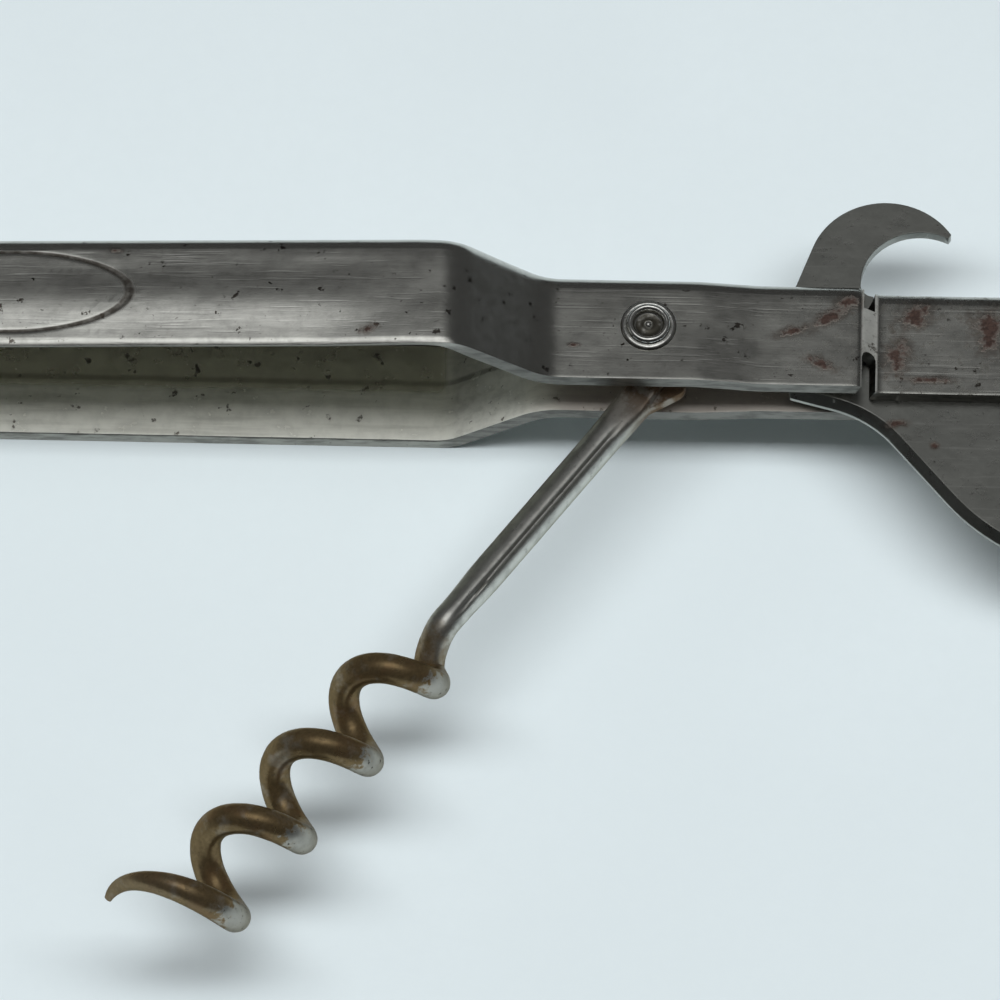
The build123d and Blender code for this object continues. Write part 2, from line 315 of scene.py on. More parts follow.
    def finish(self, colour, roughness, metallic=1.0):
        """Puts colour, roughness and metalness on the shader and hands the material over."""
        self.put(self.shader.inputs["Base Color"], colour)
        self.put(self.shader.inputs["Roughness"], roughness)
        self.put(self.shader.inputs["Metallic"], metallic)
        return self.material


RUST = (0.085, 0.052, 0.042)
RUST_FILM = (0.2, 0.15, 0.12)


def plated_outside(colour):
    """Worn nickel plating with scratches, specks and placed rust."""
    f = Finish("nickel_plating_worn")
    cloud = f.noise(0.12, 4, 0.6)
    mottle = f.noise(0.9, 6, 0.65)
    pores = f.noise(2.6, 4, 0.65, shift=11)
    lines = f.scratches((0.0, 0.35, -0.8, 1.25), shift=3)
    brushed = f.noise(2.6, 3, 0.6, stretch=(0.05, 1, 1))
    specks = f.band(pores, 0.65, 0.7)
    pits = f.band(f.noise(0.75, 5, 0.66, shift=31), 0.635, 0.665)
    on_oval = f.node("Mapping", {"Vector": f.position, "Scale": (1 / 12.1, 1 / 4.4, 0.0)}).outputs[0]
    on_oval = f.node("VectorMath", {0: on_oval}, operation="LENGTH").outputs["Value"]
    on_oval = f.math("ABSOLUTE", f.math("SUBTRACT", on_oval, 1.0))
    groove = f.times(f.band(on_oval, 0.025, 0.06, 1.0, 0.0), f.band(f.axis("Z"), 18.0, 19.0))
    # Dull, speckled tarnish grows towards the jaw.
    towards_jaw = f.band(f.axis("X"), 74, 90)
    crust = f.times(f.band(f.noise(1.1, 6, 0.72, shift=5), 0.52, 0.66), towards_jaw)
    stains = [
        ((78.2, 0.1, 15.2), (1.7, 0.55, 2.5), radians(18), 0.5, 1.1),
        ((82.2, 1.9, 15.2), (2.6, 0.75, 2.5), radians(33), 0.5, 1.0),
        ((84.0, 3.6, 15.2), (1.3, 0.8, 2.5), radians(10), 0.5, 1.0),
        ((81.3, -3.4, 15.2), (1.5, 0.6, 2.5), radians(-25), 0.6, 1.2),
        ((90.8, 2.9, 13.6), (1.9, 1.2, 2.0), radians(35), 0.6, 0.8),
        ((89.0, -1.7, 13.6), (1.2, 1.9, 2.0), radians(-15), 0.6, 0.8),
        ((97.9, 1.4, 13.6), (1.4, 2.6, 2.0), 0.1, 0.7, 0.7),
        ((92.3, -4.3, 13.6), (2.2, 0.4, 2.0), 0.0, 0.5, 1.2),
        ((36.0, -4.3, 22.2), (0.8, 0.5, 1.5), 0.3, 0.6, 1.6),
        ((102.5, -3.2, 13.6), (1.8, 1.0, 2.0), 0.5, 0.7, 0.9),
        ((10.5, 4.6, 20.5), (0.7, 0.3, 1.5), 0.0, 0.6, 1.6),
        ((56.5, -2.2, 15.6), (0.55, 0.25, 1.5), 0.0, 0.5, 1.6),
    ]
    tone = f.mixed(f.band(cloud, 0.35, 0.65, 0.0, 0.35), colour, shade(colour, 0.85))
    tone = f.mixed(f.band(mottle, 0.45, 0.7, 0.0, 0.22), tone, shade(colour, 0.6))
    tone = f.mixed(f.band(brushed, 0.4, 0.7, 0.0, 0.3), tone, shade(colour, 0.72))
    tone = f.mixed(f.times(crust, 0.6), tone, (0.17, 0.155, 0.13))
    tone = f.mixed(f.times(lines, 0.12), tone, (0.8, 0.79, 0.76))
    tone = f.mixed(f.times(f.band(f.axis("X"), 50, 60), 0.16), tone, (0.2, 0.2, 0.18))
    tone = f.mixed(f.times(specks, 0.6), tone, (0.1, 0.085, 0.065))
    tone = f.mixed(f.times(pits, 0.9), tone, (0.06, 0.048, 0.038))
    tone = f.mixed(f.times(groove, f.band(mottle, 0.3, 0.6, 0.6, 0.9)), tone, (0.1, 0.085, 0.07))
    step = f.times(f.band(f.axis("X"), 85.2, 85.5), f.band(f.axis("X"), 86.8, 87.1, 1.0, 0.0))
    step = f.times(step, f.band(f.axis("Z"), 13.2, 13.6))
    tone, rust = f.stained(stains, tone, RUST_FILM, RUST)
    rough = f.plus(f.band(mottle, 0.3, 0.7, 0.15, 0.23), f.times(brushed, 0.06))
    rough = f.plus(rough, f.times(f.any_of([rust, crust, groove]), 0.25))
    rough = f.plus(rough, f.times(step, 0.3))
    f.relief([
        (f.noise(0.16, 2, 0.5, shift=2), 0.1 * MM),
        (mottle, 0.008 * MM),
        (brushed, 0.003 * MM),
        (f.times(lines, -1.0), 0.003 * MM),
        (f.times(f.any_of([pits, specks]), -1.0), 0.0012 * MM),
        (f.times(rust, f.noise(3.5, 4, 0.7)), 0.04 * MM),
    ])
    return f.finish(tone, rough, f.math("SUBTRACT", f.band(rust, 0.0, 1.0, 1.0, 0.35), f.times(step, 0.5)))


def plated_inside(colour):
    """The channel's inside: dull plating with dirt streaks and pits, painted shade darkening the deep half of the
    channel towards the spine, a painted dark shadow line along that shade's edge, and a rusty film round the pivot.
    """
    f = Finish("nickel_plating_grimy_painted_shade")
    mottle = f.noise(0.5, 6, 0.65)
    pits = f.band(f.noise(0.6, 5, 0.66, shift=17), 0.635, 0.665)
    streaks = f.noise(1.0, 4, 0.6, stretch=(0.08, 1, 1))
    drift = f.times(f.math("SUBTRACT", f.noise(0.35, 4, 0.6, shift=61), 0.5), 0.5)
    place = f.plus(f.axis("Y"), drift)
    # Painted shade: the channel is darkened from this place inwards towards the spine, fading to a quarter past the
    # grip, and a painted dark shadow line runs along the shade's edge.
    painted_shade_deep = f.band(place, -1.3, 0.3)
    line = f.times(f.band(place, 0.1, 0.35), f.band(place, 0.6, 1.0, 1.0, 0.0))
    painted_shade_deep = f.times(painted_shade_deep, f.band(f.axis("X"), 43, 44.5, 1.0, 0.25))
    neck = f.times(f.band(f.axis("X"), 50, 57), f.band(f.axis("X"), 84, 92, 1.0, 0.0))
    tone = f.mixed(f.band(mottle, 0.4, 0.7, 0.0, 0.5), colour, shade(colour, 0.7))
    tone = f.mixed(f.times(f.band(streaks, 0.45, 0.7), 0.3), tone, (0.3, 0.29, 0.25))
    # Painted shade deep in the channel, then the painted dark shadow line along its edge.
    tone = f.mixed(f.times(painted_shade_deep, 0.85), tone, (0.36, 0.345, 0.29))
    tone = f.mixed(f.times(line, 0.5), tone, (0.1, 0.09, 0.07))
    tone = f.mixed(f.times(neck, 0.6), tone, (0.26, 0.2, 0.175))
    tone = f.mixed(f.times(pits, 0.85), tone, (0.09, 0.075, 0.06))
    rough = f.plus(f.band(mottle, 0.3, 0.7, 0.18, 0.28), f.times(pits, 0.3))
    f.relief([
        (f.noise(0.2, 2, 0.5, shift=9), 0.06 * MM),
        (mottle, 0.012 * MM),
        (f.times(pits, -1.0), 0.04 * MM),
    ])
    leg = f.band(painted_shade_deep, 0.0, 1.0, 0.2, 0.95)
    return f.finish(tone, rough, f.times(leg, f.band(pits, 0.0, 1.0, 1.0, 0.5)))


# How much higher the grip's upper leg stands for each step along the handle.
GRIP_SLOPE = 0.0492


def cut_steel(colour):
    """Sheared edges of the sheet: burnished, then torn and dark towards the inside along the grip."""
    f = Finish("sheared_edge")
    lines = f.noise(1.6, 4, 0.6, stretch=(0.25, 1, 1))
    nicks = f.band(f.noise(0.7, 5, 0.7, shift=23), 0.65, 0.7)
    ragged = f.times(f.math("SUBTRACT", f.noise(1.2, 4, 0.6, stretch=(0.3, 1, 1), shift=71), 0.5), 0.8)
    on_grip = f.times(f.band(f.axis("X"), 42, 48, 1.0, 0.0), f.band(f.axis("X"), -43.9, -43.0))
    height = f.plus(f.axis("Z"), ragged)
    above = f.math("SUBTRACT", height, f.times(f.axis("X"), GRIP_SLOPE))
    torn_upper = f.times(f.band(above, 18.5, 18.95, 1.0, 0.0), f.band(above, 8, 9))
    torn_lower = f.times(f.band(height, 1.2, 1.45), f.band(height, 2.5, 3.0, 1.0, 0.0))
    torn = f.times(f.any_of([torn_upper, torn_lower]), on_grip)
    tone = f.mixed(on_grip, colour, shade(colour, 2.0))
    tone = f.mixed(f.band(lines, 0.4, 0.65), tone, f.mixed(1.0, tone, (0.6, 0.6, 0.6), "MULTIPLY"))
    tone = f.mixed(f.times(torn, 0.9), tone, (0.05, 0.046, 0.038))
    tone = f.mixed(nicks, tone, (0.07, 0.058, 0.046))
    rough = f.band(lines, 0.3, 0.7, 0.34, 0.44)
    f.relief([(lines, 0.006 * MM), (f.times(nicks, -1.0), 0.03 * MM)])
    return f.finish(tone, rough)


def rivet_steel(colour):
    """Bright worn rivet steel, darkened in the recess by dirt and painted shade, and with a painted crevice shadow
    round the heads' rims.
    """
    f = Finish("rivet_steel", centre=(PIVOT.x, PIVOT.y, 0))
    flat = f.node("Mapping", {"Vector": f.position, "Scale": (1, 1, 0)}).outputs[0]
    out = f.node("VectorMath", {0: flat}, operation="LENGTH").outputs["Value"]
    mottle = f.noise(1.1, 4, 0.6)
    # Dirt and painted shade in the recess.
    recess = f.times(f.band(out, 1.2, 1.5, 1.0, 0.0), f.band(out, 0.3, 0.55, 0.25, 1.0))
    # Painted crevice shadow round each head's rim; it rises with distance from the pivot, so it also darkens the
    # blade rivets whole.
    skirt = f.band(out, 2.45, 2.75)
    grime_and_shade = f.any_of([recess, f.times(skirt, 0.8)])
    grime_and_shade = f.times(grime_and_shade, f.band(mottle, 0.3, 0.55, 0.6, 1.0))
    specks = f.band(f.noise(2.2, 4, 0.7, shift=4), 0.64, 0.7)
    tone = f.mixed(f.band(mottle, 0.4, 0.7), colour, shade(colour, 0.8))
    # Darkening by dirt and painted shade in the recess, and by the painted shadow round the rims.
    tone = f.mixed(f.times(grime_and_shade, 0.92), tone, (0.09, 0.08, 0.055))
    tone = f.mixed(f.times(specks, 0.7), tone, (0.1, 0.08, 0.065))
    rough = f.plus(f.band(mottle, 0.3, 0.7, 0.12, 0.18), f.times(grime_and_shade, 0.35))
    f.relief([(mottle, 0.03 * MM), (f.times(specks, -1.0), 0.02 * MM)])
    return f.finish(tone, rough)


def worm_steel(colour, tarnish):
    """Grey forged shank, rusty at the eye, and a bronze-brown screw that is worn grey outside."""
    f = Finish("worm_steel", centre=tuple(PIVOT), turn=pi + WORM_SWING)
    along, across = f.axis("X"), f.axis("Y")
    mottle = f.noise(0.6, 5, 0.62)
    fine = f.noise(2.6, 4, 0.65, shift=8)
    lines = f.scratches((0.0, 0.5), 2.0, 0.05, 0.62, 0.72)
    wander = f.times(f.math("SUBTRACT", mottle, 0.5), 6.0)
    on_screw = f.band(f.plus(along, wander), 36.5, 41.5)
    point = f.band(f.plus(along, wander), 76.0, 82.0)
    ragged = f.times(f.math("SUBTRACT", f.noise(0.9, 4, 0.65, shift=2), 0.5), 5.0)
    outer = f.band(f.plus(across, ragged), 5.9, 7.0)
    brown = f.times(on_screw, f.band(f.noise(0.4, 4, 0.6, shift=14), 0.28, 0.5, 0.75, 1.0))
    worn = f.any_of([outer, f.times(point, 0.15)])
    brown = f.times(brown, f.band(worn, 0.0, 1.0, 1.0, 0.2))
    eye = f.band(f.plus(along, wander), 4.5, 12.0, 1.0, 0.0)
    pits = f.band(f.noise(1.5, 5, 0.7, shift=21), 0.6, 0.66)
    few_pits = f.times(pits, f.band(worn, 0.0, 1.0, 0.25, 0.9))
    tone = f.mixed(f.band(mottle, 0.4, 0.7, 0.0, 0.6), colour, shade(colour, 0.6))
    tone = f.mixed(f.times(lines, 0.2), tone, (0.8, 0.79, 0.75))
    tone = f.mixed(f.times(worn, 0.45), tone, (0.2, 0.2, 0.185))
    rich = f.mixed(f.band(fine, 0.35, 0.65, 0.0, 0.5), tarnish, shade(tarnish, 0.6))
    rich = f.mixed(f.band(f.noise(0.3, 3, 0.55, shift=40), 0.5, 0.65, 0.0, 0.45), rich, (0.2, 0.12, 0.062))
    tone = f.mixed(brown, tone, rich)
    tone = f.mixed(f.times(eye, f.band(mottle, 0.35, 0.55, 0.5, 0.95)), tone, (0.19, 0.12, 0.07))
    tone = f.mixed(few_pits, tone, (0.06, 0.05, 0.042))
    rough = f.plus(f.band(mottle, 0.3, 0.7, 0.32, 0.42), f.times(brown, -0.05))
    rough = f.plus(rough, f.times(f.any_of([few_pits, eye]), 0.2))
    f.relief([
        (mottle, 0.035 * MM),
        (fine, 0.006 * MM),
        (f.times(few_pits, -1.0), 0.03 * MM),
        (f.times(lines, -1.0), 0.004 * MM),
    ])
    f.shader.inputs["Specular Tint"].default_value = (0.45, 0.42, 0.36, 1.0)
    return f.finish(tone, rough, f.band(brown, 0.0, 1.0, 1.0, 0.8))


def blade_steel(colour):
    """Dull blade steel with grinding marks and spots of rust."""
    f = Finish("blade_steel_dull", centre=tuple(PIVOT))
    mottle = f.noise(0.7, 5, 0.65)
    cloud = f.noise(0.14, 3, 0.6)
    fine = f.noise(4.0, 3, 0.6, shift=3)
    lines = f.scratches((0.15, -0.6, 1.1), 1.8, 0.04, 0.63, 0.72)
    specks = f.band(f.noise(1.6, 5, 0.7, shift=13), 0.66, 0.72)
    stains = [
        ((24.9, -8.6, 0.6), (1.2, 0.4, 1.5), 0.1, 0.5, 1.2),
        ((28.8, -11.0, 0.6), (0.45, 0.4, 1.5), 0.0, 0.3, 1.5),
        ((47.0, -15.0, 0.6), (2.2, 1.0, 1.5), 0.6, 0.7, 0.8),
        ((55.0, -9.0, 0.6), (1.0, 1.6, 1.5), 0.3, 0.7, 0.9),
        ((29.8, 14.6, 0.6), (0.5, 0.35, 1.5), 0.2, 0.6, 1.6),
        ((38.0, -18.0, -0.6), (3.0, 1.4, 0.6), 0.2, 0.7, 0.7),
    ]
    tone = f.mixed(f.band(mottle, 0.4, 0.7, 0.0, 0.5), colour, shade(colour, 0.72))
    tone = f.mixed(f.band(cloud, 0.4, 0.65, 0.0, 0.4), tone, shade(colour, 0.75))
    tone = f.mixed(f.times(lines, 0.15), tone, (0.7, 0.7, 0.67))
    tone = f.mixed(f.times(specks, 0.6), tone, (0.1, 0.08, 0.065))
    tone, rust = f.stained(stains, tone, RUST_FILM, RUST)
    rough = f.plus(f.band(mottle, 0.3, 0.7, 0.26, 0.36), f.times(f.any_of([rust, specks]), 0.3))
    f.relief([
        (cloud, 0.05 * MM),
        (mottle, 0.012 * MM),
        (fine, 0.004 * MM),
        (f.times(f.any_of([specks, rust]), -1.0), 0.025 * MM),
    ])
    return f.finish(tone, rough, f.band(rust, 0.0, 1.0, 1.0, 0.35))


# ---------------------------------------------------------------- handle
class HandleSettings(bpy.types.PropertyGroup):
    """Sizes and colours of the folded handle."""

    sheet: length("Sheet thickness", "Thickness of the folded steel sheet", 1.6)
    fold_radius: length("Fold radius", "Outside radius of the folds along the spine", 1.75)
    grip_end_width: length("Grip end width", "Outside width of the grip at its far end", 18.2)
    grip_corner: length("Grip corner", "Corner radius of the legs at the grip's far end", 5.0)
    jaw_corner: length("Jaw corner", "Corner radius of the legs at the jaw's end", 2.5)
    grip_bow: length("Grip bow", "How far the spine bows out along the grip", 0.5)
    crown: number("Crown", "How strongly the grip's upper leg is crowned", 1.0)
    edge_roll: length("Edge roll", "How far the upper leg's free edge is rolled down", 0.2)
    rolled_edge: length("Rolled edge", "Width of the rounding that the die leaves on the outer edges", 0.38)
    inner_edge: length("Inner edge", "Width of the rounding on the inner edges", 0.22)
    slot_width: length("Slot width", "Width of the relief slots behind the jaw", 1.4)
    notch_width: length("Notch width", "Width of the notch in the spine", 1.1)
    relief_x: length("Relief place", "Where the relief cuts lie along the handle", 86.1)
    hook_slot_start: length("Hook slot start", "Where the hook's slot in the spine starts", 77.4)
    oval_length: length("Oval length", "Length of the plain oval groove on the grip", 24.6)
    oval_width: length("Oval width", "Width of the plain oval groove on the grip", 9.2)
    groove_width: length("Groove width", "Width of the oval's groove", 0.42)
    groove_depth: length("Groove depth", "Depth of the oval's groove", 0.045)
    plating: tint("Plating", "Colour of the worn plating outside", (0.6, 0.6, 0.56))
    inside: tint("Inside", "Colour of the dull plating inside", (0.86, 0.85, 0.77))
    cut: tint("Cut edge", "Colour of the sheared edges", (0.2, 0.196, 0.178))


# Corners of the handle's side outline past the grip: place along the handle, half width and bend radius.
SHOULDER = [(44.7, 11.3, 5.0), (53.7, 4.3, 5.0), (69.2, 4.3, 8.0), (75.2, 3.65, 8.0), (85.3, 3.65, 2.0),
            (86.9, 2.25, 2.0)]
JAW_HALF_WIDTH = 2.25
# Stretches of even spacing between the mesh's stations: start, end and step.
STRETCHES = [(-39.4, 41.5, 0.95), (41.5, 57.0, 0.5), (57.0, 77.0, 0.8), (77.4, 84.9, 0.6), (87.2, 89.0, 0.35),
             (89.2, 105.4, 0.9)]
SLOT_COLUMNS = (-1.0, -0.7, -0.55, -0.28, 0.0, 0.28, 0.55, 0.7, 0.9)
# Lean of the grip's upper leg towards its free edge: place across the handle in millimetres, and degrees.
LEANS = [(3.9, 2.1), (3.3, 1.7), (2.4, -1.4), (0.2, -1.4), (-0.8, 1.2), (-1.8, 4.8), (-2.8, 6.5), (-3.8, 6.3),
         (-4.6, 4.0), (-5.0, 2.0), (-5.9, 2.0)]
# The row where the relief slots end, which sets their depth.
SLOT_ROW = 6
LEG_ROWS = (0.0, 0.028, 0.048, 0.075, 0.155, 0.25, 0.347, 0.44, 0.53, 0.62, 0.71, 0.8, 0.9)
# The hook's slot takes up this share of the spine's flat, which sets its width.
HOOK_SLOT_SHARE = 0.485
SPINE_ROWS = (-1.0, -0.8, -HOOK_SLOT_SHARE, -0.24, 0.0, 0.24, HOOK_SLOT_SHARE, 0.8, 1.0)
FOLD_STEPS = 7
EDGE_ROLL_WIDTH = 0.85 * MM
# The blank starts this far in, so that the finished sheet ends at the handle's end.
END_INSET = 0.15 * MM


def bent_path(corners):
    """Height over X along straight runs whose corners are rounded; corners hold x, height and radius."""
    points = [Vector(corner[:2]) for corner in corners]

    def height(x):
        for before, corner, after, (_, _, radius) in zip(points, points[1:], points[2:], corners[1:]):
            into, out = (corner - before).normalized(), (after - corner).normalized()
            turn = into.x * out.y - into.y * out.x
            reach = radius * tan(abs(atan2(turn, into.dot(out))) / 2)
            start, end = corner - into * reach, corner + out * reach
            if start.x <= x <= end.x and turn:
                side = 1 if turn > 0 else -1
                centre = start + Vector((-into.y, into.x)) * side * radius
                return centre.y - side * sqrt(max(radius**2 - (x - centre.x) ** 2, 0.0))
        for before, after in zip(points, points[1:]):
            if x <= after.x:
                share = (x - before.x) / (after.x - before.x)
                return before.y + (after.y - before.y) * share
        return points[-1].y

    return height


def handle_stations(s):
    """Places along the handle where the blank's mesh has a row of vertices."""
    quarter = [1 - cos(radians(angle)) for angle in range(0, 91, 10)]
    places = [GRIP_END_X + END_INSET + (s.grip_corner - END_INSET) * share for share in quarter]
    for start, end, step in STRETCHES:
        count = round((end - start) / step)
        places += [(start + (end - start) * index / count) * MM for index in range(count + 1)]
    places += [s.relief_x + column * MM for column in SLOT_COLUMNS]
    places += [JAW_END_X - s.jaw_corner * share for share in quarter]
    kept = []
    for place in sorted(places):
        if not kept or place - kept[-1] > 0.02 * MM:
            kept.append(place)
    return kept


def blank_rows():
    """Rows across the blank from one free edge to the other, as (part, share)."""
    rows = [("lower", share) for share in LEG_ROWS]
    rows += [("lower fold", step / FOLD_STEPS) for step in range(FOLD_STEPS)]
    rows += [("spine", share) for share in SPINE_ROWS]
    rows += [("upper fold", 1 - step / FOLD_STEPS) for step in range(1, FOLD_STEPS + 1)]
    return rows + [("upper", share) for share in reversed(LEG_ROWS)]


def crown(s, x, y):
    """How far the grip's upper leg stands above its flat place, at a place across it."""
    rise = 0.0
    for (start, lean), (end, next_lean) in zip(LEANS, LEANS[1:]):
        if y < start * MM:
            share = min((start * MM - y) / ((start - end) * MM), 1.0)
            mean = lean + (next_lean - lean) * share / 2
            rise -= tan(radians(mean)) * (start - end) * MM * share
    near_edge = max(1 - (y - FREE_EDGE_Y) / EDGE_ROLL_WIDTH, 0.0)
    roll = s.edge_roll * near_edge**2 * fade_out(x, 41, 6)
    return s.crown * rise * fade_out(x, 30, 11) - roll


def folded(s, lower, upper, x, row):
    """Where a point of the flat blank lies on the folded handle's outside."""
    part, share = row
    bottom, top, radius = lower(x), upper(x), s.fold_radius
    spine_y = SPINE_Y + s.grip_bow * fade_out(x, 40, 13)
    centre_y = spine_y - radius
    if part in ("lower", "upper"):
        edge = FREE_EDGE_Y
        for end, corner in ((x - GRIP_END_X, s.grip_corner), (JAW_END_X - x, s.jaw_corner)):
            if end < corner:
                edge += corner - sqrt(max(corner**2 - (corner - end) ** 2, 0.0))
        y = edge + (centre_y - edge) * share
        from_slot = abs(x - s.relief_x)
        if share == LEG_ROWS[SLOT_ROW] and from_slot < s.slot_width / 2:
            y += sqrt((s.slot_width / 2) ** 2 - from_slot**2)
        return Vector((x, y, bottom if part == "lower" else top + crown(s, x, y)))
    if part == "spine":
        middle, half = (bottom + top) / 2, (top - bottom) / 2 - radius
        return Vector((x, spine_y, middle + half * share))
    angle = share * pi / 2
    if part == "lower fold":
        return Vector((x, centre_y + radius * sin(angle), bottom + radius * (1 - cos(angle))))
    drop = crown(s, x, centre_y) * cos(angle)
    return Vector((x, centre_y + radius * sin(angle), top - radius * (1 - cos(angle)) + drop))


def cut_away(s, x, part, share):
    """Whether a relief slot, the notch or the hook's slot takes away this face of the blank."""
    from_slot = abs(x - s.relief_x)
    if part in ("lower", "upper"):
        return from_slot < s.slot_width / 2 and share < LEG_ROWS[SLOT_ROW]
    if from_slot < s.notch_width / 2:
        return True
    return part == "spine" and abs(share) < HOOK_SLOT_SHARE and s.hook_slot_start < x < s.relief_x - s.notch_width / 2


class OBJECT_OT_corkscrew_handle(bpy.types.Operator):
    """Folds the steel blank into the handle"""

    bl_idname = "object.corkscrew_handle"
    bl_label = "Handle"

    def execute(self, context):
        s = context.scene.corkscrew_handle
        mid = MID_Z / MM
        lower = bent_path([(-44.7, 0, 0)] + [(x, mid - half, bend) for x, half, bend in SHOULDER]
                          + [(108.3, mid - JAW_HALF_WIDTH, 0)])
        upper = bent_path([(-44.7, s.grip_end_width / MM, 0)] + [(x, mid + half, bend) for x, half, bend in SHOULDER]
                          + [(108.3, mid + JAW_HALF_WIDTH, 0)])
        stations, rows = handle_stations(s), blank_rows()
        columns, lines = len(stations) - 1, len(rows) - 1
        bm = bmesh.new()
        bmesh.ops.create_grid(bm, x_segments=columns, y_segments=lines, size=0.5)

        def cell(point):
            return (point.x + 0.5) * columns, (point.y + 0.5) * lines

        gone = []
        for face in bm.faces:
            column, line = (int(value) for value in cell(face.calc_center_median()))
            part, share = rows[line]
            next_part, next_share = rows[line + 1]
            if part != next_part and "fold" in next_part:
                part, share = next_part, next_share
            elif part == next_part:
                share = (share + next_share) / 2
            if cut_away(s, (stations[column] + stations[column + 1]) / 2, part, share):
                gone.append(face)
        bmesh.ops.delete(bm, geom=gone, context="FACES")
        for vert in bm.verts:
            column, line = (round(value) for value in cell(vert.co))
            bottom, top = (lambda x: lower(x / MM) * MM), (lambda x: upper(x / MM) * MM)
            vert.co = folded(s, bottom, top, stations[column], rows[line])

        # The oval groove needs finer faces than the rest of the sheet.
        def from_oval(point):
            """Roughly how far a point lies from the middle of the oval's groove."""
            half_x, half_y = (s.oval_length - s.groove_width) / 2, (s.oval_width - s.groove_width) / 2
            share = hypot(point.x / half_x, point.y / half_y)
            if share < 0.2:
                return 1.0
            slope = hypot(point.x / half_x**2, point.y / half_y**2) / share
            return abs(share - 1) / slope

        def on_grip_top(point):
            return point.z > 19 * MM and abs(point.x) < 14 * MM and point.y < 5 * MM

        near = [face for face in bm.faces
                if on_grip_top(face.calc_center_median()) and from_oval(face.calc_center_median()) < 1.1 * MM]
        edges = list(dict.fromkeys(edge for face in near for edge in face.edges))
        bmesh.ops.subdivide_edges(bm, edges=edges, cuts=6, use_grid_fill=True)
        for vert in bm.verts:
            if on_grip_top(vert.co):
                depth = from_oval(vert.co) / (s.groove_width / 2)
                vert.co.z -= s.groove_depth * exp(-depth * depth)

        # Years of use leave the sheet slightly wavy.
        for vert in bm.verts:
            wave = noise.noise(vert.co / (7 * MM)) + 0.5 * noise.noise(vert.co / (2.4 * MM))
            if vert.co.z < 0.5 * MM:
                vert.co.z += 0.03 * MM * abs(wave)
            elif vert.co.y < SPINE_Y - 1.2 * MM:
                vert.co.z += 0.035 * MM * wave
        if sum(face.normal.y for face in bm.faces if face.calc_center_median().y > SPINE_Y - 0.1 * MM) < 0:
            bmesh.ops.reverse_faces(bm, faces=bm.faces)
        bm.normal_update()
        handle = new_object("handle_folded", bm)
        for material in (plated_outside(s.plating), plated_inside(s.inside), cut_steel(s.cut)):
            handle.data.materials.append(material)
        add_modifier(handle, "SOLIDIFY", thickness=s.sheet, offset=-1.0, use_even_offset=True, material_offset=1,
                     material_offset_rim=2)
        apply_modifiers(handle)
        bm = bmesh.new()
        bm.from_mesh(handle.data)
        sharp = [edge for edge in bm.edges if len(edge.link_faces) == 2 and edge.calc_face_angle() > radians(50)]
        outer = [edge for edge in sharp if {face.material_index for face in edge.link_faces} == {0, 2}]
        bevel(bm, outer, s.rolled_edge, 4)
        sharp = [edge for edge in bm.edges if len(edge.link_faces) == 2 and edge.calc_face_angle() > radians(50)]
        bevel(bm, sharp, s.inner_edge, 2)
        for face in bm.faces:
            face.smooth = True
        bm.to_mesh(handle.data)
        bm.free()
        add_modifier(handle, "WEIGHTED_NORMAL", keep_sharp=True)
        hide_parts("handle")
        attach(handle, "body")
        return {"FINISHED"}


# ---------------------------------------------------------------- rivets
class RivetSettings(bpy.types.PropertyGroup):
    """Sizes and colour of the rivets."""

    head: length("Pivot head", "Diameter of the pivot rivet's heads", 5.6)
    head_height: length("Pivot head height", "How far the pivot rivet's heads stand off the legs", 0.85)
    shank: length("Pivot shank", "Diameter of the pivot rivet's shank", 3.4)
    recess: length("Recess", "Diameter of the rolled end's recess", 2.9)
    recess_depth: length("Recess depth", "Depth of the recess below the roll's crest", 0.7)
    nub: length("Nub", "Diameter of the nub in the recess", 1.0)
    blade_head: length("Blade head", "Diameter of the blade rivets' heads", 4.0)
    blade_head_height: length("Blade head height", "How far the blade rivets' heads stand off the jaw", 0.6)
    blade_shank: length("Blade shank", "Diameter of the blade rivets' shanks", 2.4)
    steel: tint("Rivet steel", "Colour of the rivets", (0.9, 0.9, 0.86))


NECK_HALF_WIDTH = 4.3 * MM
# The ring rolled over at the pivot rivet's upper end: its middle's radius and half its width.
PIVOT_ROLL_RADIUS, PIVOT_ROLL_HALF = 1.86 * MM, 0.46 * MM
BLADE_RIVET_PLACES = [(104.7 * MM, 1.5 * MM), (104.7 * MM, -2.9 * MM)]


